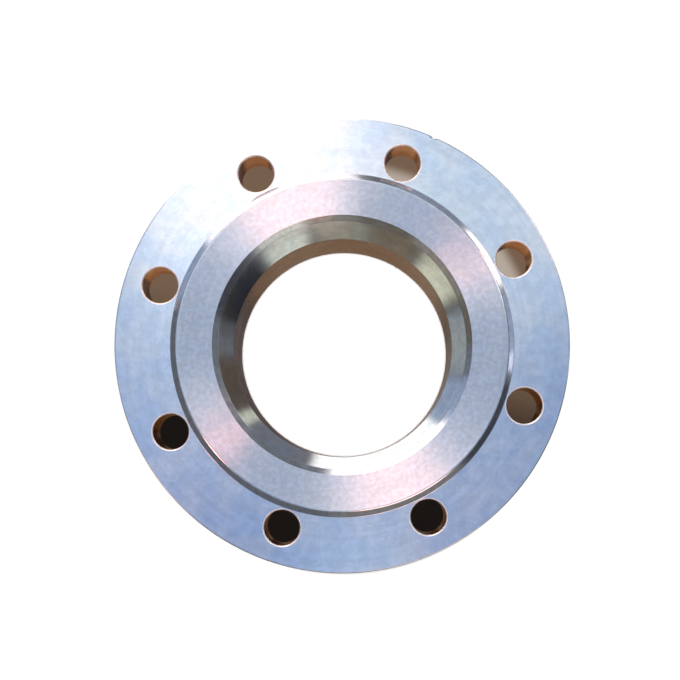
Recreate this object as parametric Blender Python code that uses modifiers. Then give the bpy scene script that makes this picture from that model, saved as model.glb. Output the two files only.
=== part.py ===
"""Weld neck pipe flange, DN 150 PN 16, standing on its weld end with the raised face up.

The flange is one forging, so the model is one closed solid: a turned profile with
eight bolt holes drilled through the ring. The origin is on the axis, in the plane of
the weld end. Units are metres and +Z runs along the pipe, towards the gasket face.
"""

import math

import bpy
from mathutils import Vector

COLLECTION_NAME = "weld_neck_flange"
CUTTER_COLLECTION_NAME = "cutters"
FORGING_NAME = "flange_forging"

# Overall
OVERALL_HEIGHT = 0.055
TURNING_STEPS = 96
MERGE_DISTANCE = 0.00001
SHARP_DEGREES = 25.0

# Flange ring
FLANGE_DIAMETER = 0.285
FLANGE_THICKNESS = 0.022
RIM_CHAMFER = 0.0015

# Raised face: its side slopes at 45 degrees, and its diameter is taken half way down
RAISED_FACE_DIAMETER = 0.212
RAISED_FACE_HEIGHT = 0.003

# Bolt holes, straddling the X and Y axes
BOLT_CIRCLE_DIAMETER = 0.240
BOLT_HOLE_COUNT = 8
BOLT_HOLE_DIAMETER = 0.022
BOLT_HOLE_CHAMFER = 0.001
BOLT_HOLE_SIDES = 32

# Hub and weld end
HUB_ROOT_DIAMETER = 0.184
HUB_ROOT_FILLET = 0.010
HUB_FILLET_STEPS = 6
WELD_END_DIAMETER = 0.1683
WELD_END_STRAIGHT = 0.012
WELD_BEVEL_DEGREES = 37.5
WELD_ROOT_FACE = 0.0016

# Bore: rounded lip, tapered mouth, then a straight bore down to the weld end
BORE_DIAMETER = 0.1399
TAPER_TOP_DIAMETER = 0.1548
TAPER_TOP_DEPTH = 0.0025
TAPER_END_DEPTH = 0.017
LIP_DIAMETER = 0.162
LIP_STEPS = 4

# How far a cutter runs past the face it cuts
CUT_CLEARANCE = 0.005
CHAMFER_OVERRUN = 0.0003


def clear_scene():
    """Remove every object that is in the scene."""
    for item in list(bpy.data.objects):
        bpy.data.objects.remove(item, do_unlink=True)


def add_collection(name):
    """Link a new collection to the scene."""
    collection = bpy.data.collections.new(name)
    bpy.context.scene.collection.children.link(collection)
    return collection


def forged_steel():
    """Bare machined carbon steel."""
    material = bpy.data.materials.new("forged_steel")
    material.use_nodes = True
    shader = material.node_tree.nodes["Principled BSDF"]
    shader.inputs["Base Color"].default_value = (0.52, 0.56, 0.60, 1.0)
    shader.inputs["Metallic"].default_value = 1.0
    shader.inputs["Roughness"].default_value = 0.38
    return material


def profile_object(name, points, collection, closed, steps):
    """Turn a profile in the XZ plane, given as (radius, height) points, about Z."""
    vertices = [(radius, 0.0, height) for radius, height in points]
    edges = [(index, index + 1) for index in range(len(points) - 1)]
    if closed:
        edges.append((len(points) - 1, 0))
    mesh = bpy.data.meshes.new(name)
    mesh.from_pydata(vertices, edges, [])
    item = bpy.data.objects.new(name, mesh)
    collection.objects.link(item)
    screw = item.modifiers.new("turn", "SCREW")
    screw.axis = "Z"
    screw.angle = 2.0 * math.pi
    screw.screw_offset = 0.0
    screw.steps = steps
    screw.render_steps = steps
    screw.use_merge_vertices = True
    screw.merge_threshold = MERGE_DISTANCE
    return item


def corner_arc(before, corner, after, radius, steps):
    """Points of the arc that rounds a corner, from the incoming to the outgoing leg."""
    incoming = (Vector(before) - Vector(corner)).normalized()
    outgoing = (Vector(after) - Vector(corner)).normalized()
    half_angle = incoming.angle(outgoing) / 2.0
    bisector = (incoming + outgoing).normalized()
    centre = Vector(corner) + bisector * (radius / math.sin(half_angle))
    start = Vector(corner) + incoming * (radius / math.tan(half_angle)) - centre
    end = Vector(corner) + outgoing * (radius / math.tan(half_angle)) - centre
    sweep = start.angle_signed(end)
    points = []
    for index in range(steps + 1):
        turn = -sweep * index / steps
        x = start.x * math.cos(turn) - start.y * math.sin(turn)
        y = start.x * math.sin(turn) + start.y * math.cos(turn)
        points.append((centre.x + x, centre.y + y))
    return points


def lip_arc():
    """Quarter ellipse that rounds the bore's mouth, from the taper up to the raised face."""
    centre_height = OVERALL_HEIGHT - TAPER_TOP_DEPTH
    width = (LIP_DIAMETER - TAPER_TOP_DIAMETER) / 2.0
    points = []
    for index in range(LIP_STEPS + 1):
        turn = 0.5 * math.pi * index / LIP_STEPS
        radius = LIP_DIAMETER / 2.0 - width * math.cos(turn)
        height = centre_height + TAPER_TOP_DEPTH * math.sin(turn)
        points.append((radius, height))
    return points


def outer_profile():
    """Outside of the flange, from the raised face's edge down to the weld root face."""
    front = OVERALL_HEIGHT - RAISED_FACE_HEIGHT
    back = OVERALL_HEIGHT - FLANGE_THICKNESS
    rim = FLANGE_DIAMETER / 2.0
    side_half_width = RAISED_FACE_HEIGHT / 2.0
    raised_radius = RAISED_FACE_DIAMETER / 2.0
    hub_root = (HUB_ROOT_DIAMETER / 2.0, back)
    weld_radius = WELD_END_DIAMETER / 2.0
    root_face_radius = BORE_DIAMETER / 2.0 + WELD_ROOT_FACE
    bevel_rise = (weld_radius - root_face_radius) * math.tan(math.radians(WELD_BEVEL_DEGREES))
    points = [
        (raised_radius - side_half_width, OVERALL_HEIGHT),
        (raised_radius + side_half_width, front),
        (rim - RIM_CHAMFER, front),
        (rim, front - RIM_CHAMFER),
        (rim, back + RIM_CHAMFER),
        (rim - RIM_CHAMFER, back),
    ]
    hub_foot = (weld_radius, WELD_END_STRAIGHT)
    points += corner_arc((rim, back), hub_root, hub_foot, HUB_ROOT_FILLET, HUB_FILLET_STEPS)
    points += [
        hub_foot,
        (weld_radius, bevel_rise),
        (root_face_radius, 0.0),
    ]
    return points


def bore_profile():
    """Inside of the flange, from the weld end up to the raised face."""
    return [
        (BORE_DIAMETER / 2.0, 0.0),
        (BORE_DIAMETER / 2.0, OVERALL_HEIGHT - TAPER_END_DEPTH),
    ] + lip_arc()


def bolt_hole_profile():
    """A drill with a countersink at each face of the ring, from top to bottom."""
    front = OVERALL_HEIGHT - RAISED_FACE_HEIGHT
    back = OVERALL_HEIGHT - FLANGE_THICKNESS
    radius = BOLT_HOLE_DIAMETER / 2.0
    wide = radius + BOLT_HOLE_CHAMFER + CHAMFER_OVERRUN
    return [
        (0.0, front + CUT_CLEARANCE),
        (wide, front + CUT_CLEARANCE),
        (wide, front + CHAMFER_OVERRUN),
        (radius, front - BOLT_HOLE_CHAMFER),
        (radius, back + BOLT_HOLE_CHAMFER),
        (wide, back - CHAMFER_OVERRUN),
        (wide, back - CUT_CLEARANCE),
        (0.0, back - CUT_CLEARANCE),
    ]


def add_bolt_hole_cutters(collection):
    """One hidden cutter for each bolt hole."""
    cutters = []
    for index in range(BOLT_HOLE_COUNT):
        name = f"bolt_hole_cutter_{index + 1}"
        cutter = profile_object(name, bolt_hole_profile(), collection, False, BOLT_HOLE_SIDES)
        angle = 2.0 * math.pi * (index + 0.5) / BOLT_HOLE_COUNT
        cutter.location.x = BOLT_CIRCLE_DIAMETER / 2.0 * math.cos(angle)
        cutter.location.y = BOLT_CIRCLE_DIAMETER / 2.0 * math.sin(angle)
        cutter.rotation_euler.z = angle
        cutter.hide_render = True
        cutter.display_type = "WIRE"
        cutters.append(cutter)
    return cutters


def add_forging(collection, cutters):
    """The whole flange: ring, raised face, hub, weld end and bore in one forging."""
    forging = profile_object(
        FORGING_NAME, outer_profile() + bore_profile(), collection, True, TURNING_STEPS
    )
    forging.data.materials.append(forged_steel())
    for cutter in cutters:
        drill = forging.modifiers.new(cutter.name, "BOOLEAN")
        drill.operation = "DIFFERENCE"
        drill.solver = "EXACT"
        drill.object = cutter
    return forging


def apply_and_shade(item):
    """Apply the modifiers, then shade smooth with an edge wherever two faces meet at an angle."""
    profile = item.data
    evaluated = item.evaluated_get(bpy.context.evaluated_depsgraph_get())
    mesh = bpy.data.meshes.new_from_object(evaluated)
    item.modifiers.clear()
    item.data = mesh
    bpy.data.meshes.remove(profile)
    mesh.name = item.name
    mesh.shade_smooth()
    mesh.set_sharp_from_angle(angle=math.radians(SHARP_DEGREES))


def main():
    clear_scene()
    parts = add_collection(COLLECTION_NAME)
    cutters = add_bolt_hole_cutters(add_collection(CUTTER_COLLECTION_NAME))
    forging = add_forging(parts, cutters)
    apply_and_shade(forging)


main()
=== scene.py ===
"""Looks of the weld neck flange: one continuous turned body with drilled bolt holes.

The body is built ring by ring in mesh code, so that the raised face's gasket grooves,
the rounded and chamfered edges and the countersunk bolt holes are all real geometry.
Lengths are in metres. The flange stands on its weld end with its raised face up.

Polished steel looks like what it mirrors, so most of its look comes from the room that
add_world paints round it. The backdrop is plain, and so is the floor that the camera sees,
apart from a painted shadow under the ring.
"""

import math

import bpy
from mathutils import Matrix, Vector


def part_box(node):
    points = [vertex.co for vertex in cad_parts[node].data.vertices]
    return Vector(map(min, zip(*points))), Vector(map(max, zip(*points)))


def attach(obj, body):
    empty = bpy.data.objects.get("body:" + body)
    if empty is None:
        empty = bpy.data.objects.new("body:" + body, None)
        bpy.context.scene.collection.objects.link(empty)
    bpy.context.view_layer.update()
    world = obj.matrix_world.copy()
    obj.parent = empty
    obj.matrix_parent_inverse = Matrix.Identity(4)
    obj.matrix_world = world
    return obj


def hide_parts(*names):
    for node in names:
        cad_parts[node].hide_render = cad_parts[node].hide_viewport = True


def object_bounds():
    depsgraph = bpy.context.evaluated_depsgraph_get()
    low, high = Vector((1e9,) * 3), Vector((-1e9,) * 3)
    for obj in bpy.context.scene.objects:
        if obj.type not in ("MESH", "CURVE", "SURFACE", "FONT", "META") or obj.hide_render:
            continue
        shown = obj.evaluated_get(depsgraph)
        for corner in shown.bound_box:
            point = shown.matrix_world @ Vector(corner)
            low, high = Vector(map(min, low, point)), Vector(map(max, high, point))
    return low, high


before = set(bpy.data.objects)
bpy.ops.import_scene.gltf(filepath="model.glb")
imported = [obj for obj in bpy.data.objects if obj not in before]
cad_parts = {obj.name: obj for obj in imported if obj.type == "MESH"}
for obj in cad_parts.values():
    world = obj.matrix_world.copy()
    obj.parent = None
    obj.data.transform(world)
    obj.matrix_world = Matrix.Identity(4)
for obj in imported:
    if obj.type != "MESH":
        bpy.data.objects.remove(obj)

FORGING = "flange_forging"

# ---------------------------------------------------------------- sizes from the frame
CAD_LOW, CAD_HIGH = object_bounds()
NODE_LOW, NODE_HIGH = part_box(FORGING)
TOP = NODE_HIGH[2]
BOTTOM = NODE_LOW[2]
RIM_RADIUS = (NODE_HIGH[0] - NODE_LOW[0]) / 2.0

# Flange ring
RING_THICKNESS = 0.022
RAISED_HEIGHT = 0.003
RING_FRONT = TOP - RAISED_HEIGHT
RING_BACK = TOP - RING_THICKNESS
RIM_CHAMFER = 0.0006
RIM_ROUNDING = 0.0003
BESIDE_RIM = 0.0008

# Sloping side of the raised face: its middle radius, its width and its corners
RAISED_RADIUS = 0.1056
RAISED_SIDE = 0.0036
RAISED_TOP_RADIUS = RAISED_RADIUS - RAISED_SIDE / 2.0
RAISED_FOOT_RADIUS = RAISED_RADIUS + RAISED_SIDE / 2.0
RAISED_ROUNDING = 0.0025
RAISED_FOOT_ROUNDING = 0.0009
BESIDE_RAISED = 0.0011
BESIDE_FOOT = 0.0004

# Bolt holes. The flat at a hole's edge has to be wider than what the rounding takes of it.
HOLE_COUNT = 8
BOLT_CIRCLE_RADIUS = 0.120
HOLE_RADIUS = 0.011
HOLE_CHAMFER = 0.0008
HOLE_EDGE_FLAT = 0.0003
HOLE_FRONT_ROUNDING = 0.0006
HOLE_BACK_ROUNDING = 0.0004

# Bore and mouth
BORE_RADIUS = 0.06995
TAPER_TOP_RADIUS = 0.0776
TAPER_TOP_DEPTH = 0.0024
TAPER_END_DEPTH = 0.017
TAPER_END_ROUNDING = 0.0012
LIP_RADIUS = 0.081
LIP_ROUNDING = 0.0003
BESIDE_BEND = 0.0007

# Hub and weld end
HUB_ROOT_RADIUS = 0.092
HUB_FILLET = 0.010
HUB_FOOT_ROUNDING = 0.002
WELD_RADIUS = 0.08415
WELD_STRAIGHT = 0.012
WELD_BEVEL = math.radians(37.5)
WELD_EDGE_ROUNDING = 0.0002
ROOT_FACE = 0.0016

# Gasket grooves on the raised face, and the plain lands inside and outside them
GROOVE_PITCH = 0.0008
GROOVE_DEPTH = 0.00005
GROOVE_STEPS = 4
INNER_LAND = 0.0008
OUTER_LAND = BESIDE_RAISED + 0.0001

# A knock in the rim, by azimuth in degrees
NICK_AZIMUTH = 62.0
NICK_HALF_WIDTH = 1.1
NICK_DEPTH = 0.0008
NICK_HEIGHT = 0.004

# Mesh density
SEGMENTS = 400
PER_HOLE = SEGMENTS // HOLE_COUNT
SPOKE_STEPS = 14
HOLE_SPREAD = 0.5
ROWS_TO_HOLE = (0.4, 0.75, 0.93)
EDGE_STEPS = 3
MOUTH_STEPS = 5
SIDE_STEPS = 6
BEND_STEPS = 12
SHARP_FROM = math.radians(24.0)

# Zones of the surface, in the order of the body's material slots
(
    RING_FACE, RAISED_FACE, RAISED_EDGE, LIP, TAPER, BORE,
    RIM, BACK, HUB, BEVEL, DRILLED, HOLE_EDGE,
) = range(12)


# ------------------------------------------------------------------------------- shape
class Body:
    """Vertices and faces of one closed surface, with the zone of every face."""

    def __init__(self):
        self.points = []
        self.faces = []
        self.zones = []

    def add_point(self, x, y, z):
        self.points.append((x, y, z))
        return len(self.points) - 1

    def add_polar(self, radius, angle, height, centre=(0.0, 0.0)):
        """A point at a radius and an angle round a centre."""
        x = centre[0] + radius * math.cos(angle)
        y = centre[1] + radius * math.sin(angle)
        return self.add_point(x, y, height)

    def radius_of(self, place):
        """How far a point is from the flange's axis."""
        return math.hypot(self.points[place][0], self.points[place][1])

    def turned_ring(self, radius, height):
        """A ring of points round the flange's axis."""
        return [
            self.add_polar(radius, 2.0 * math.pi * index / SEGMENTS, height)
            for index in range(SEGMENTS)
        ]

    def bridge(self, first, second, zone):
        """Quads between two closed rings of equal count, facing left of the way they run."""
        count = len(first)
        for index in range(count):
            after = (index + 1) % count
            self.faces.append((first[index], second[index], second[after], first[after]))
            self.zones.append(zone)


def rounded(corners, steps=EDGE_STEPS):
    """Profile points (radius, height, zone of the next stretch), with corners rounded.

    Each corner is (radius, height, rounding, zone). The ends aren't rounded.
    """
    points = []
    last = len(corners) - 1
    for index, (radius, height, rounding, zone) in enumerate(corners):
        if rounding == 0.0 or index in (0, last):
            points.append((radius, height, zone))
            continue
        corner = Vector((radius, height))
        back = Vector(corners[index - 1][:2]) - corner
        ahead = Vector(corners[index + 1][:2]) - corner
        half_angle = back.angle(ahead) / 2.0
        reach = rounding / math.tan(half_angle)
        start = corner + back.normalized() * reach
        end = corner + ahead.normalized() * reach
        for step in range(steps + 1):
            part = step / steps
            along = start.lerp(corner, part).lerp(corner.lerp(end, part), part)
            points.append((along.x, along.y, zone))
    return points


def groove_points():
    """The raised face from its inner edge outward, with shallow gasket grooves."""
    inner = LIP_RADIUS + INNER_LAND
    outer = RAISED_TOP_RADIUS - OUTER_LAND
    count = int((outer - inner) / GROOVE_PITCH)
    points = []
    for index in range(count * GROOVE_STEPS + 1):
        turn = math.pi * index / GROOVE_STEPS
        radius = inner + GROOVE_PITCH * index / GROOVE_STEPS
        height = TOP - GROOVE_DEPTH * math.sin(turn) ** 2
        points.append((radius, height, RAISED_FACE))
    return points


def mouth_points():
    """Up the bore, its taper and the bevelled lip to the raised face.

    Extra points beside each bend keep the shading of the taper and the lip flat.
    """
    foot = Vector((BORE_RADIUS, TOP - TAPER_END_DEPTH))
    bend = Vector((TAPER_TOP_RADIUS, TOP - TAPER_TOP_DEPTH))
    lip_top = Vector((LIP_RADIUS, TOP))

    def beside(corner, other):
        return corner + (other - corner).normalized() * BESIDE_BEND

    return rounded([
        (BORE_RADIUS, BOTTOM, 0.0, BORE),
        (BORE_RADIUS, foot.y - BESIDE_BEND, 0.0, BORE),
        (*foot, TAPER_END_ROUNDING, TAPER),
        (*beside(foot, bend), 0.0, TAPER),
        (*beside(bend, foot), 0.0, TAPER),
        (*bend, LIP_ROUNDING, LIP),
        (*beside(bend, lip_top), 0.0, LIP),
        (*beside(lip_top, bend), 0.0, LIP),
        (*lip_top, LIP_ROUNDING, RAISED_FACE),
        (LIP_RADIUS + INNER_LAND, TOP, 0.0, RAISED_FACE),
    ], steps=MOUTH_STEPS)[:-1]


def front_profile():
    """Inner half of the front: bore, mouth, raised face and its side, up to the ring."""
    side = rounded([
        (RAISED_TOP_RADIUS - BESIDE_RAISED, TOP, 0.0, RAISED_FACE),
        (RAISED_TOP_RADIUS, TOP, RAISED_ROUNDING, RAISED_EDGE),
        (RAISED_FOOT_RADIUS, RING_FRONT, RAISED_FOOT_ROUNDING, RING_FACE),
        (RAISED_FOOT_RADIUS + BESIDE_FOOT, RING_FRONT, 0.0, RING_FACE),
    ], steps=SIDE_STEPS)
    return mouth_points() + groove_points() + side


def rim_profile():
    """The rim, from the ring's front face round to its back face."""
    flat_end = RIM_RADIUS - RIM_CHAMFER
    return rounded([
        (flat_end - BESIDE_RIM, RING_FRONT, 0.0, RING_FACE),
        (flat_end, RING_FRONT, RIM_ROUNDING, RIM),
        (RIM_RADIUS, RING_FRONT - RIM_CHAMFER, RIM_ROUNDING, RIM),
        (RIM_RADIUS, RING_BACK + RIM_CHAMFER, RIM_ROUNDING, RIM),
        (flat_end, RING_BACK, RIM_ROUNDING, BACK),
        (flat_end - BESIDE_RIM, RING_BACK, 0.0, BACK),
    ])


def back_profile():
    """Behind the ring: hub fillet, hub, weld end and weld bevel, down to the bore."""
    bevel_rise = (WELD_RADIUS - BORE_RADIUS - ROOT_FACE) * math.tan(WELD_BEVEL)
    root = rounded([
        (RIM_RADIUS, RING_BACK, 0.0, HUB),
        (HUB_ROOT_RADIUS, RING_BACK, HUB_FILLET, HUB),
        (WELD_RADIUS, BOTTOM + WELD_STRAIGHT, 0.0, HUB),
    ], steps=BEND_STEPS)[1:-1]
    foot = rounded([
        (root[-1][0], root[-1][1], 0.0, HUB),
        (WELD_RADIUS, BOTTOM + WELD_STRAIGHT, HUB_FOOT_ROUNDING, HUB),
        (WELD_RADIUS, BOTTOM + bevel_rise, WELD_EDGE_ROUNDING, BEVEL),
        (BORE_RADIUS + ROOT_FACE, BOTTOM, WELD_EDGE_ROUNDING, BEVEL),
        (BORE_RADIUS, BOTTOM, 0.0, BORE),
    ])
    return root + foot[1:-1]


def spoke(body, angle, inner, outer, height):
    """Points between two holes, along a radius, not counting its two ends."""
    return [
        body.add_polar(inner + (outer - inner) * step / SPOKE_STEPS, angle, height)
        for step in range(1, SPOKE_STEPS)
    ]


def sector_loop(inner_ring, outer_ring, spokes, index):
    """Closed loop round one hole's sector: inner arc back, spoke out, outer arc, spoke in."""
    first = index * PER_HOLE
    arc = [(first + step) % SEGMENTS for step in range(PER_HOLE + 1)]
    loop = [outer_ring[place] for place in arc]
    loop += reversed(spokes[(index + 1) % HOLE_COUNT])
    loop += [inner_ring[place] for place in reversed(arc)]
    loop += spokes[index]
    return loop


def hole_directions(body, loop, centre):
    """Directions from the hole's centre for the points of its rings, one for each loop point."""
    bearings = []
    for place in loop:
        x, y, _ = body.points[place]
        bearing = math.atan2(y - centre[1], x - centre[0])
        if bearings:
            while bearing < bearings[-1]:
                bearing += 2.0 * math.pi
        bearings.append(bearing)
    even = [bearings[0] + 2.0 * math.pi * step / len(loop) for step in range(len(loop))]
    return [bearing + (spaced - bearing) * HOLE_SPREAD for bearing, spaced in zip(bearings, even)]


def drill(body, front_loop, back_loop, centre, bearings):
    """Fill one sector of the ring, front and back, and the countersunk hole through it."""
    def ring(radius, height):
        return [body.add_polar(radius, bearing, height, centre) for bearing in bearings]

    def rows(loop, edge, height, parts, zone):
        """Rows of points between a sector's loop and its hole's edge."""
        made = []
        for part in parts:
            row = []
            for loop_place, edge_place in zip(loop, edge):
                start, end = Vector(body.points[loop_place]), Vector(body.points[edge_place])
                at = start.lerp(end, part)
                row.append(body.add_point(at.x, at.y, height))
            made.append((row, zone))
        return made

    countersink_radius = HOLE_RADIUS + HOLE_CHAMFER
    edge_radius = countersink_radius + HOLE_EDGE_FLAT
    front_edge = ring(edge_radius, RING_FRONT)
    back_edge = ring(edge_radius, RING_BACK)
    chain = [(front_loop, RING_FACE)]
    chain += rows(front_loop, front_edge, RING_FRONT, ROWS_TO_HOLE, RING_FACE)
    chain.append((front_edge, HOLE_EDGE))
    wall = rounded([
        (edge_radius, RING_FRONT, 0.0, HOLE_EDGE),
        (countersink_radius, RING_FRONT, HOLE_FRONT_ROUNDING, HOLE_EDGE),
        (HOLE_RADIUS, RING_FRONT - HOLE_CHAMFER, HOLE_FRONT_ROUNDING, DRILLED),
        (HOLE_RADIUS, RING_BACK + HOLE_CHAMFER, HOLE_BACK_ROUNDING, HOLE_EDGE),
        (countersink_radius, RING_BACK, HOLE_BACK_ROUNDING, HOLE_EDGE),
        (edge_radius, RING_BACK, 0.0, HOLE_EDGE),
    ])[1:-1]
    chain += [(ring(radius, height), zone) for radius, height, zone in wall]
    chain.append((back_edge, BACK))
    chain += rows(back_loop, back_edge, RING_BACK, reversed(ROWS_TO_HOLE), BACK)
    chain.append((back_loop, BACK))
    for (first, zone), (second, _) in zip(chain, chain[1:]):
        body.bridge(second, first, zone)


def dent_rim(body):
    """A small knock in the rim's front edge, deepest at the edge and fading sideways and down."""
    near_rim = RIM_RADIUS - 2.0 * RIM_CHAMFER
    for place, (x, y, z) in enumerate(body.points):
        away = abs(math.degrees(math.atan2(y, x)) - NICK_AZIMUTH) / NICK_HALF_WIDTH
        radius = math.hypot(x, y)
        if away < 1.0 and radius > near_rim and z > RING_FRONT - NICK_HEIGHT:
            fade = 0.5 + 0.5 * math.cos(math.pi * away)
            pull = 1.0 - NICK_DEPTH * fade * (1.0 - (RING_FRONT - z) / NICK_HEIGHT) / radius
            body.points[place] = (x * pull, y * pull, z - 0.5 * NICK_DEPTH * fade)


def add_flange():
    """The whole flange as one closed mesh."""
    body = Body()

    def turn(profile):
        rings = [(body.turned_ring(radius, height), zone) for radius, height, zone in profile]
        for (first, zone), (second, _) in zip(rings, rings[1:]):
            body.bridge(first, second, zone)
        return rings

    front = turn(front_profile())
    rim = turn(rim_profile())
    back = turn(back_profile())
    body.bridge(back[-1][0], front[0][0], BEVEL)

    front_inner, front_outer = front[-1][0], rim[0][0]
    back_outer, back_inner = rim[-1][0], back[0][0]
    front_ends = body.radius_of(front_inner[0]), body.radius_of(front_outer[0])
    back_ends = body.radius_of(back_inner[0]), body.radius_of(back_outer[0])
    front_spokes, back_spokes = [], []
    for index in range(HOLE_COUNT):
        angle = 2.0 * math.pi * index / HOLE_COUNT
        front_spokes.append(spoke(body, angle, *front_ends, RING_FRONT))
        back_spokes.append(spoke(body, angle, *back_ends, RING_BACK))
    for index in range(HOLE_COUNT):
        angle = 2.0 * math.pi * (index + 0.5) / HOLE_COUNT
        centre = (BOLT_CIRCLE_RADIUS * math.cos(angle), BOLT_CIRCLE_RADIUS * math.sin(angle))
        front_loop = sector_loop(front_inner, front_outer, front_spokes, index)
        back_loop = sector_loop(back_inner, back_outer, back_spokes, index)
        bearings = hole_directions(body, front_loop, centre)
        drill(body, front_loop, back_loop, centre, bearings)

    dent_rim(body)
    mesh = bpy.data.meshes.new("flange_body")
    mesh.from_pydata(body.points, [], body.faces)
    for polygon, zone in zip(mesh.polygons, body.zones):
        polygon.material_index = zone
    mesh.update()
    mesh.shade_smooth()
    mesh.set_sharp_from_angle(angle=SHARP_FROM)
    item = bpy.data.objects.new("flange_body", mesh)
    bpy.context.scene.collection.objects.link(item)
    return item


# --------------------------------------------------------------------------- materials
class Graph:
    """Short hands for building the nodes of a material or of the world."""

    def __init__(self, name=None, tree=None):
        if tree is None:
            self.material = bpy.data.materials.new(name)
            self.material.use_nodes = True
            self.tree = self.material.node_tree
            self.shader = self.tree.nodes["Principled BSDF"]
        else:
            self.tree = tree
            self.shader = tree.nodes["Background"]

    def node(self, kind, **settings):
        made = self.tree.nodes.new(kind)
        for key, value in settings.items():
            setattr(made, key, value)
        return made

    def link(self, source, target):
        self.tree.links.new(source, target)

    def feed(self, sockets, values):
        """Link each value that is a node's output to its socket, and set the others there."""
        for socket, value in zip(sockets, values):
            if hasattr(value, "links"):
                self.link(value, socket)
            elif socket.type == "RGBA" and isinstance(value, tuple):
                socket.default_value = (*value, 1.0)
            else:
                socket.default_value = value

    def math(self, operation, first, second=0.0):
        made = self.node("ShaderNodeMath", operation=operation)
        self.feed(made.inputs, (first, second))
        return made.outputs[0]

    def vector(self, operation, first, second=(0.0, 0.0, 0.0)):
        made = self.node("ShaderNodeVectorMath", operation=operation)
        self.feed(made.inputs, (first, second))
        return made.outputs["Value" if operation == "DOT_PRODUCT" else "Vector"]

    def combine(self, x, y, z):
        made = self.node("ShaderNodeCombineXYZ")
        self.feed(made.inputs, (x, y, z))
        return made.outputs[0]

    def split(self, vector):
        made = self.node("ShaderNodeSeparateXYZ")
        self.link(vector, made.inputs[0])
        return made.outputs

    def noise(self, vector, scale, detail=2.0, roughness=0.5, distortion=0.0):
        made = self.node("ShaderNodeTexNoise")
        self.link(vector, made.inputs["Vector"])
        made.inputs["Scale"].default_value = scale
        made.inputs["Detail"].default_value = detail
        made.inputs["Roughness"].default_value = roughness
        made.inputs["Distortion"].default_value = distortion
        return made.outputs["Fac"]

    def distance(self, x, y):
        """How far a place is from the flange's axis."""
        squares = self.math("ADD", self.math("MULTIPLY", x, x), self.math("MULTIPLY", y, y))
        return self.math("SQRT", squares)

    def spread(self, value, low, high, to_low=0.0, to_high=1.0):
        """A smooth ramp from to_low to to_high while the value goes from low to high."""
        made = self.node("ShaderNodeMapRange", interpolation_type="SMOOTHSTEP")
        self.link(value, made.inputs["Value"])
        made.inputs["From Min"].default_value = low
        made.inputs["From Max"].default_value = high
        made.inputs["To Min"].default_value = to_low
        made.inputs["To Max"].default_value = to_high
        return made.outputs["Result"]

    def mix(self, amount, first, second, blend="MIX"):
        made = self.node("ShaderNodeMix", data_type="RGBA", blend_type=blend)
        factor, colours = made.inputs[0], made.inputs[6:8]
        self.feed((factor, *colours), (amount, first, second))
        return made.outputs[2]


def places(graph):
    """Object coordinates, and turned coordinates that run along the feed of the tool."""
    position = graph.node("ShaderNodeTexCoord").outputs["Object"]
    x, y, z = graph.split(position)
    radius = graph.distance(x, y)
    feed = graph.math("ADD", radius, z)
    east = graph.math("DIVIDE", x, radius)
    north = graph.math("DIVIDE", y, radius)
    return position, feed, east, north


def turned(graph, feed, east, north, pitch, along):
    """Coordinates for noise drawn out along the turning marks.

    The pitch is across the marks. The larger along is, the shorter the marks are.
    """
    return graph.combine(
        graph.math("MULTIPLY", feed, 1.0 / pitch),
        graph.math("MULTIPLY", east, along),
        graph.math("MULTIPLY", north, along),
    )


# Finish of the steel: turning marks and the wider bands of them, grain, and smears of stain
LINE_PITCH = 0.0004
BAND_PITCH = 7.0 * LINE_PITCH
GRAIN_DEPTH = 0.0000005
FINE_SHADE = 0.03
STAIN_SCALE = 34.0
LEAST_ROUGHNESS = 0.05
# A quarter turn, so that the brushing runs round the axis
RADIAL_ROTATION = 0.25
# Where, along Y, the painted shade of the near side gives way to the colour of the far side
PAINTED_SHADE_FADE = (-0.035, 0.02)


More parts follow.
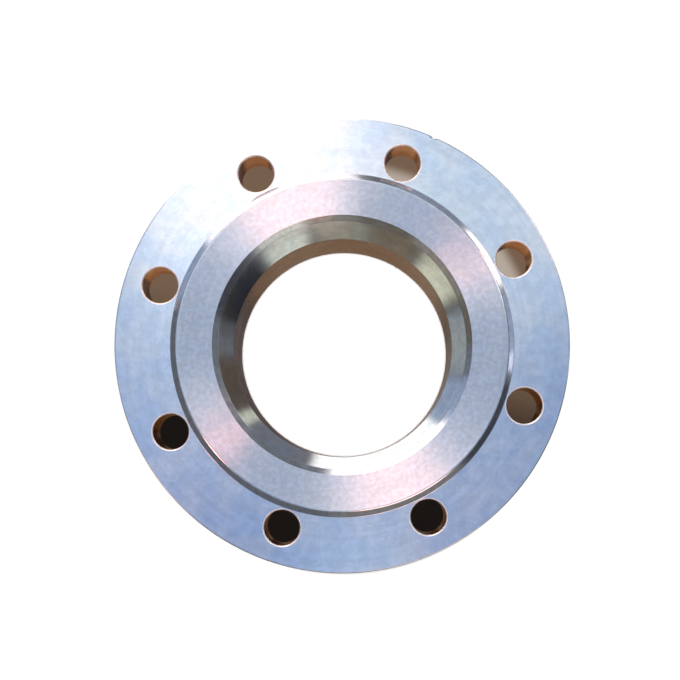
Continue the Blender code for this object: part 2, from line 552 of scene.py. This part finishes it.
def machined(
    name, colour, patch_colour, roughness, roughness_swing, anisotropy,
    patch_scale=60.0, patch_amount=0.8, mottle_depth=0.08, line_depth=0.000002,
    scuff=0.0, stain=None, stain_amount=0.0, edge_tint=(1.0, 1.0, 1.0), painted_near_shade=None,
):
    """Bare machined steel with turning marks, soft cloudy patches, fine grain and scuffs.

    A stain is a colour in smears. A near-side colour, painted shade, takes over towards -Y.
    """
    graph = Graph(name)
    shader = graph.shader
    position, feed, east, north = places(graph)
    shader.inputs["Metallic"].default_value = 1.0
    shader.inputs["Anisotropic"].default_value = anisotropy
    shader.inputs["Specular Tint"].default_value = (*edge_tint, 1.0)

    clouds = graph.noise(position, patch_scale, 5.0, 0.6, 0.25)
    mottle = graph.noise(position, patch_scale * 4.0, 3.0, 0.6, 0.2)
    grain = graph.noise(position, patch_scale * 14.0, 2.0, 0.6)
    lines = graph.noise(turned(graph, feed, east, north, LINE_PITCH, 3.0), 1.0, 2.0, 0.6)
    bands = graph.noise(turned(graph, feed, east, north, BAND_PITCH, 1.2), 1.0, 2.0, 0.5)

    patches = graph.spread(clouds, 0.38, 0.64)
    tint = graph.mix(graph.math("MULTIPLY", patches, patch_amount), colour, patch_colour)
    shade = graph.spread(mottle, 0.34, 0.68, 1.0 - mottle_depth, 1.0 + mottle_depth)
    for fine in (grain, bands):
        fine_shade = graph.spread(fine, 0.3, 0.7, 1.0 - FINE_SHADE, 1.0 + FINE_SHADE)
        shade = graph.math("MULTIPLY", shade, fine_shade)
    colour_out = graph.mix(1.0, tint, graph.combine(shade, shade, shade), "MULTIPLY")
    if stain is not None:
        smear = graph.noise(position, STAIN_SCALE, 4.0, 0.6, 0.8)
        amount = graph.math("MULTIPLY", graph.spread(smear, 0.5, 0.72), stain_amount)
        colour_out = graph.mix(amount, colour_out, stain)
    # Painted shade: the colour darkens to the near-side colour towards -Y
    if painted_near_shade is not None:
        far_side = graph.spread(graph.split(position)[1], *PAINTED_SHADE_FADE)
        colour_out = graph.mix(far_side, painted_near_shade, colour_out)
    if scuff > 0.0:
        for direction in SCRATCH_DIRECTIONS:
            amount = graph.math("MULTIPLY", scratches(graph, position, direction), scuff)
            colour_out = graph.mix(amount, colour_out, SCRATCH_COLOUR)
    graph.link(colour_out, shader.inputs["Base Color"])

    smoothest, roughest = roughness - roughness_swing, roughness + roughness_swing
    rough = graph.spread(clouds, 0.3, 0.7, smoothest, roughest)
    graph.link(graph.math("MAXIMUM", rough, LEAST_ROUGHNESS), shader.inputs["Roughness"])

    height = graph.math("MULTIPLY", lines, line_depth)
    height = graph.math("ADD", height, graph.math("MULTIPLY", grain, GRAIN_DEPTH))

    bump = graph.node("ShaderNodeBump")
    bump.inputs["Strength"].default_value = 1.0
    bump.inputs["Distance"].default_value = 1.0
    graph.link(height, bump.inputs["Height"])
    graph.link(bump.outputs["Normal"], shader.inputs["Normal"])
    if anisotropy > 0.0:
        tangent = graph.node("ShaderNodeTangent", direction_type="RADIAL", axis="Z")
        graph.link(tangent.outputs[0], shader.inputs["Tangent"])
        shader.inputs["Anisotropic Rotation"].default_value = RADIAL_ROTATION
    return graph.material


# Scratches: their colour, the ways they run in degrees, how dense the noise is across and along
# them for each metre, and how far they bend
SCRATCH_COLOUR = (0.88, 0.90, 0.93)
SCRATCH_DIRECTIONS = (25.0, 78.0, 141.0)
SCRATCHES_ACROSS = 1300.0
SCRATCHES_ALONG = 45.0
SCRATCH_WOBBLE = 0.012


def scratches(graph, position, direction):
    """Sparse thin scratches that run one way, as an amount from 0 to 1."""
    turn = math.radians(direction)
    wobble = graph.math("MULTIPLY", graph.noise(position, 12.0, 1.0), SCRATCH_WOBBLE)
    across = graph.vector("DOT_PRODUCT", position, (math.cos(turn), math.sin(turn), 0.0))
    along = graph.vector("DOT_PRODUCT", position, (-math.sin(turn), math.cos(turn), 0.0))
    across = graph.math("MULTIPLY", graph.math("ADD", across, wobble), SCRATCHES_ACROSS)
    along = graph.math("MULTIPLY", along, SCRATCHES_ALONG)
    thread = graph.noise(graph.combine(across, along, direction), 1.0, 1.0)
    here = graph.spread(graph.noise(position, 30.0, 1.0), 0.5, 0.66)
    return graph.math("MULTIPLY", graph.spread(thread, 0.70, 0.78), here)


STEEL = (0.62, 0.65, 0.69)
STEEL_PALE = (0.70, 0.72, 0.73)
STEEL_DARK = (0.58, 0.60, 0.62)
STEEL_WARM = (0.60, 0.58, 0.55)


def flange_materials():
    """One material for each zone, in the order of the zones."""
    return [
        machined("ring_face", (0.51, 0.59, 0.70), (0.63, 0.65, 0.67), 0.22, 0.01, 0.4,
                 patch_scale=42.0, patch_amount=0.6, mottle_depth=0.05, scuff=0.4),
        machined("raised_face", (0.67, 0.73, 0.82), (0.73, 0.76, 0.82), 0.40, 0.01, 1.0,
                 patch_scale=90.0, line_depth=0.000001),
        machined("raised_edge", STEEL_DARK, STEEL, 0.15, 0.01, 0.2),
        machined("lip", STEEL_DARK, STEEL, 0.15, 0.02, 0.2),
        machined("taper", STEEL_DARK, STEEL_WARM, 0.17, 0.02, 0.3, patch_scale=40.0),
        machined("bore", (0.60, 0.54, 0.48), (0.52, 0.42, 0.34), 0.30, 0.04, 0.5,
                 stain=(0.36, 0.22, 0.13), stain_amount=0.4),
        machined("rim", STEEL, STEEL_PALE, 0.30, 0.04, 0.7, line_depth=0.000006),
        machined("ring_back", STEEL_DARK, STEEL, 0.34, 0.04, 0.8, scuff=0.2),
        machined("hub", STEEL_DARK, STEEL, 0.32, 0.04, 0.7, line_depth=0.000006),
        machined("weld_bevel", STEEL, STEEL_PALE, 0.26, 0.03, 0.8),
        # The drilled walls are oxidised brown; painted shade makes them nearly black on the near
        # side
        machined("drilled", (0.90, 0.70, 0.52), (0.74, 0.52, 0.36), 0.26, 0.04, 0.0,
                 edge_tint=(0.90, 0.62, 0.44), painted_near_shade=(0.10, 0.07, 0.05)),
        machined("hole_edge", (0.92, 0.91, 0.90), (0.98, 0.95, 0.90), 0.50, 0.03, 0.0),
    ]


# ------------------------------------------------------------------------------- stage
# The floor, and the painted shadow under the ring: where its inner and outer edges fade, and its
# painted colours of shade and light
FLOOR_REACH = 12.0
FLOOR_GAP = 0.0002
FLOOR_COLOUR = (0.93, 0.93, 0.93)
BLACK = (0.0, 0.0, 0.0)
PAINTED_SHADOW_INNER_EDGE = (0.076, 0.084)
PAINTED_SHADOW_OUTER_EDGE = (0.147, 0.152)
PAINTED_SHADOW_NEAR = (0.010, 0.008, 0.007)
PAINTED_SHADOW_FAR = (0.18, 0.115, 0.075)
PAINTED_SUNLIT = (0.46, 0.39, 0.33)
PAINTED_SHADOW_UNDER_HUB = (0.05, 0.035, 0.025)


def painted_shadow_colour(graph, x, y, radius):
    """Painted shadow: nearly black towards -Y and brown beyond, with a painted sunlit part and
    darker painted shade by the hub.
    """
    across = graph.math("ADD", graph.math("MULTIPLY", x, 0.30), y)
    shade = graph.mix(graph.spread(across, -0.05, 0.03), PAINTED_SHADOW_NEAR, PAINTED_SHADOW_FAR)
    bearing = graph.math("DEGREES", graph.math("ARCTAN2", y, x))
    # Painted light: a lighter, sunlit part between these bearings
    after_start = graph.spread(bearing, 4.0, 14.0)
    before_end = graph.spread(bearing, 78.0, 84.0, 1.0, 0.0)
    sunlit = graph.math("MULTIPLY", after_start, before_end)
    sunlit = graph.math("MULTIPLY", sunlit, graph.spread(radius, 0.126, 0.136, 1.0, 0.0))
    shade = graph.mix(sunlit, shade, PAINTED_SUNLIT)
    return graph.mix(graph.spread(radius, 0.096, 0.118), PAINTED_SHADOW_UNDER_HUB, shade)


def add_floor():
    """A wide pale floor at the foot of the weld end, with a brown painted shadow on it under the
    ring.

    The painted shadow glows faintly instead of reflecting light, so lamps leave no spots on it.
    Polished metal doesn't mirror the floor.
    """
    mesh = bpy.data.meshes.new("floor")
    reach, height = FLOOR_REACH, CAD_LOW[2] - FLOOR_GAP
    corners = [(-reach, -reach), (reach, -reach), (reach, reach), (-reach, reach)]
    mesh.from_pydata([(x, y, height) for x, y in corners], [], [(0, 1, 2, 3)])
    graph = Graph("pale_floor")
    shader = graph.shader
    x, y = graph.split(graph.node("ShaderNodeTexCoord").outputs["Object"])[:2]
    radius = graph.distance(x, y)
    # Painted shadow under the ring, which glows instead of being lit
    inside = graph.spread(radius, *PAINTED_SHADOW_OUTER_EDGE, 1.0, 0.0)
    painted_shadow_mask = graph.math("MULTIPLY", graph.spread(radius, *PAINTED_SHADOW_INNER_EDGE), inside)
    shade = painted_shadow_colour(graph, x, y, radius)
    graph.link(graph.mix(painted_shadow_mask, FLOOR_COLOUR, BLACK), shader.inputs["Base Color"])
    graph.link(graph.mix(painted_shadow_mask, BLACK, shade), shader.inputs["Emission Color"])
    shader.inputs["Emission Strength"].default_value = 1.0
    shader.inputs["Roughness"].default_value = 0.9
    shader.inputs["Specular IOR Level"].default_value = 0.0
    mesh.materials.append(graph.material)
    floor = bpy.data.objects.new("floor", mesh)
    floor.visible_glossy = False
    bpy.context.scene.collection.objects.link(floor)
    return floor


PANEL_DISTANCE = 1.3


def on_dome(azimuth, elevation):
    """A panel's place, at an azimuth from +X and an elevation above the face, in degrees."""
    turn, rise = math.radians(azimuth), math.radians(elevation)
    return Vector((
        PANEL_DISTANCE * math.cos(rise) * math.cos(turn),
        PANEL_DISTANCE * math.cos(rise) * math.sin(turn),
        TOP + PANEL_DISTANCE * math.sin(rise),
    ))


def light_only(lamp, lit):
    """Put a lamp in the scene that lights one object only and isn't seen."""
    lamp.visible_camera = False
    bpy.context.scene.collection.objects.link(lamp)
    receivers = bpy.data.collections.new(lamp.name + "_lights")
    receivers.objects.link(lit)
    lamp.light_linking.receiver_collection = receivers


def add_panel(name, azimuth, elevation, width, height, power, colour, lit):
    """A rectangular soft light that faces the flange."""
    data = bpy.data.lights.new(name, "AREA")
    data.shape = "RECTANGLE"
    data.size = width
    data.size_y = height
    data.energy = power
    data.color = colour
    lamp = bpy.data.objects.new(name, data)
    lamp.location = on_dome(azimuth, elevation)
    to_face = Vector((0.0, 0.0, TOP)) - lamp.location
    lamp.rotation_euler = to_face.to_track_quat("-Z", "Y").to_euler()
    light_only(lamp, lit)


def add_ceiling_light(strength, width, lit):
    """Even soft light from straight above, the same all over the floor."""
    data = bpy.data.lights.new("ceiling_light", "SUN")
    data.energy = strength
    data.angle = math.radians(width)
    light_only(bpy.data.objects.new("ceiling_light", data), lit)


# What polished steel mirrors. Azimuths run from +X and elevations from the horizon, in degrees.
# SKY_COLOURS go all round. The ROOM's patches lie over them, and a later one over an earlier one.
SKY_COLOURS = [
    (-70.0, (0.21, 0.125, 0.075)),
    (-50.0, (0.12, 0.10, 0.08)),
    (-24.0, (0.15, 0.15, 0.16)),
    (36.0, (0.20, 0.22, 0.25)),
    (54.0, (0.42, 0.50, 0.64)),
    (76.0, (0.405, 0.51, 0.74)),
]
ROOM = [
    # name, azimuth, half width, lowest, highest, softness, colour
    ("bright ceiling", 60.0, 28.0, 52.0, 84.0, 24.0, (0.90, 1.02, 1.12)),
    ("white haze", 132.0, 12.0, 60.0, 92.0, 22.0, (0.92, 1.02, 1.15)),
    ("white ceiling", 108.0, 23.0, 60.0, 92.0, 8.0, (2.0, 1.95, 1.95)),
    ("strip light", 30.0, 9.0, 42.0, 60.0, 6.0, (2.4, 2.3, 2.2)),
    ("left ceiling", 168.0, 12.0, 56.0, 84.0, 20.0, (0.52, 0.66, 0.92)),
    ("near ceiling", 264.0, 16.0, 64.0, 88.0, 20.0, (0.84, 0.98, 1.15)),
    ("dim ceiling", 220.0, 14.0, 56.0, 88.0, 20.0, (0.30, 0.41, 0.70)),
    ("grey floor", 86.0, 75.0, -95.0, -62.0, 8.0, (0.30, 0.26, 0.22)),
    ("dark floor", 86.0, 32.0, -95.0, -62.0, 12.0, (0.03, 0.02, 0.016)),
    ("blue floor", 30.0, 45.0, -78.0, -66.0, 2.0, (0.05, 0.055, 0.09)),
    ("shaded floor", 157.0, 14.0, -81.0, -66.0, 4.0, (0.10, 0.07, 0.05)),
    ("brown floor", 262.0, 74.0, -71.5, -58.0, 3.0, (0.42, 0.28, 0.19)),
    ("far wall", 240.0, 72.0, -14.0, 20.0, 6.0, (0.16, 0.17, 0.20)),
    ("far wall top", 240.0, 72.0, 20.0, 44.0, 6.0, (0.17, 0.155, 0.12)),
    ("shelf", 208.0, 18.0, 22.0, 42.0, 8.0, (0.33, 0.31, 0.27)),
    ("bench top", 268.0, 10.0, 20.0, 44.0, 8.0, (0.27, 0.27, 0.23)),
    ("near wall", 288.0, 26.0, -14.0, 22.0, 12.0, (0.28, 0.26, 0.26)),
    ("grey wall", 170.0, 14.0, -50.0, -8.0, 9.0, (0.42, 0.47, 0.50)),
    ("cream wall", 205.0, 12.0, -50.0, -14.0, 10.0, (0.92, 0.91, 0.70)),
    ("brown wall", 236.0, 12.0, -50.0, -14.0, 10.0, (0.27, 0.22, 0.16)),
    ("bench", 264.0, 14.0, -40.0, -10.0, 9.0, (0.40, 0.39, 0.32)),
    ("green door", 297.0, 12.0, -42.0, -12.0, 9.0, (0.95, 1.02, 0.92)),
    ("door top", 297.0, 14.0, 24.0, 44.0, 5.0, (0.80, 0.84, 0.76)),
    ("doorway", 333.0, 17.0, -62.0, -12.0, 6.0, (0.02, 0.025, 0.035)),
    ("doorway top", 333.0, 17.0, -12.0, 42.0, 6.0, (0.07, 0.073, 0.09)),
    ("pale corner", 10.0, 11.0, -22.0, 18.0, 7.0, (0.44, 0.52, 0.70)),
    ("blue lamp", -3.0, 3.0, -12.0, 16.0, 2.0, (1.20, 1.25, 1.55)),
    ("brown box", 22.0, 13.0, -50.0, -14.0, 8.0, (0.13, 0.10, 0.08)),
    ("cupboard", 58.0, 13.0, -50.0, 4.0, 4.0, (0.22, 0.24, 0.30)),
    ("cupboard top", 58.0, 13.0, 4.0, 17.0, 4.0, (0.62, 0.68, 0.86)),
    ("blue wall", 142.0, 11.0, -50.0, 34.0, 7.0, (0.42, 0.52, 0.72)),
    ("window", 103.0, 28.0, -60.0, -4.0, 4.0, (1.8, 1.8, 1.8)),
    ("window top", 108.0, 25.0, -4.0, 36.0, 4.0, (2.8, 2.5, 2.5)),
    ("lamp", 34.0, 10.0, -8.0, 18.0, 4.0, (3.0, 2.8, 2.8)),
    ("glass", 40.0, 3.0, -40.0, -24.0, 3.0, (0.9, 0.9, 0.75)),
]
UNDERSIDE_COLOUR = (0.05, 0.03, 0.02)
BACKDROP_COLOUR = (0.97, 0.97, 0.97)


def room_patch(graph, elevation, level, patch):
    """How much of one of the room's patches shows in a direction, from 0 to 1."""
    _, azimuth, half_width, lowest, highest, softness, _ = patch
    soft = softness / 2.0
    facing = (math.cos(math.radians(azimuth)), math.sin(math.radians(azimuth)), 0.0)
    outer = math.cos(math.radians(half_width + soft))
    inner = math.cos(math.radians(max(half_width - soft, 0.0)))
    sideways = graph.spread(graph.vector("DOT_PRODUCT", level, facing), outer, inner)
    above = graph.spread(elevation, lowest - soft, lowest + soft)
    below = graph.spread(elevation, highest - soft, highest + soft, 1.0, 0.0)
    return graph.math("MULTIPLY", sideways, graph.math("MULTIPLY", above, below))


def add_world():
    """A plain pale backdrop, and for the steel to mirror, a cool ceiling above a room."""
    world = bpy.data.worlds.new("studio")
    bpy.context.scene.world = world
    world.use_nodes = True
    world.cycles_visibility.diffuse = False
    graph = Graph(tree=world.node_tree)
    direction = graph.node("ShaderNodeTexCoord").outputs["Generated"]
    elevation = graph.math("DEGREES", graph.math("ARCSINE", graph.split(direction)[2]))
    level = graph.vector("NORMALIZE", graph.vector("MULTIPLY", direction, (1.0, 1.0, 0.0)))

    seen = SKY_COLOURS[0][1]
    for (low, _), (high, colour) in zip(SKY_COLOURS, SKY_COLOURS[1:]):
        seen = graph.mix(graph.spread(elevation, low, high), seen, colour)
    for patch in ROOM:
        seen = graph.mix(room_patch(graph, elevation, level, patch), seen, patch[-1])
    path = graph.node("ShaderNodeLightPath")
    from_floor = graph.math("GREATER_THAN", path.outputs["Diffuse Depth"], 0.5)
    seen = graph.mix(from_floor, seen, UNDERSIDE_COLOUR)
    seen = graph.mix(path.outputs["Is Camera Ray"], seen, BACKDROP_COLOUR)
    graph.link(seen, graph.shader.inputs["Color"])


PANELS = [
    # name, azimuth, elevation, width, height, power, colour. They give the raised face its wedges.
    ("key", 104.0, 48.0, 0.50, 0.40, 2.9, (1.0, 0.46, 0.32)),
    ("key_back", 289.0, 50.0, 0.58, 0.30, 2.9, (1.0, 0.47, 0.35)),
    ("side", 34.0, 44.0, 0.12, 0.40, 0.75, (1.0, 0.30, 0.20)),
    ("side_back", 206.0, 50.0, 0.14, 0.30, 1.4, (1.0, 0.38, 0.27)),
]
# The ceiling light's strength, and how wide it looks from the floor in degrees
CEILING_STRENGTH = 3.5
CEILING_WIDTH = 4.0


def add_lights(flange, floor):
    """The room, the panels for the flange alone and the ceiling light for the floor alone."""
    add_world()
    for panel in PANELS:
        add_panel(*panel, flange)
    add_ceiling_light(CEILING_STRENGTH, CEILING_WIDTH, floor)


# The camera looks straight down from above the near side of the bore. Its roll, in degrees, turns
# the bolt holes' pattern, and the lens is shifted to frame the flange. Lengths are in metres,
# apart from the lens and sensor in millimetres.
SENSOR_WIDTH = 36.0
LENS = 44.32
LENS_SHIFT = (-0.0335, 0.1598)
VIEW_PLACE = (0.0081, -0.0652)
VIEW_HEIGHT = 0.520
VIEW_ROLL = -4.2


def add_camera():
    """Straight above the face, a little towards -Y, framed by shifting the lens."""
    data = bpy.data.cameras.new("camera")
    data.sensor_width = SENSOR_WIDTH
    data.lens = LENS
    data.shift_x, data.shift_y = LENS_SHIFT
    data.clip_start = 0.01
    data.clip_end = 100.0
    camera = bpy.data.objects.new("camera", data)
    camera.location = (*VIEW_PLACE, TOP + VIEW_HEIGHT)
    camera.rotation_euler = (0.0, 0.0, math.radians(VIEW_ROLL))
    bpy.context.scene.collection.objects.link(camera)
    bpy.context.scene.camera = camera


flange = add_flange()
for material in flange_materials():
    flange.data.materials.append(material)
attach(flange, "root")
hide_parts(FORGING)

floor = add_floor()
add_lights(flange, floor)
add_camera()
bpy.context.scene.view_settings.view_transform = "Standard"
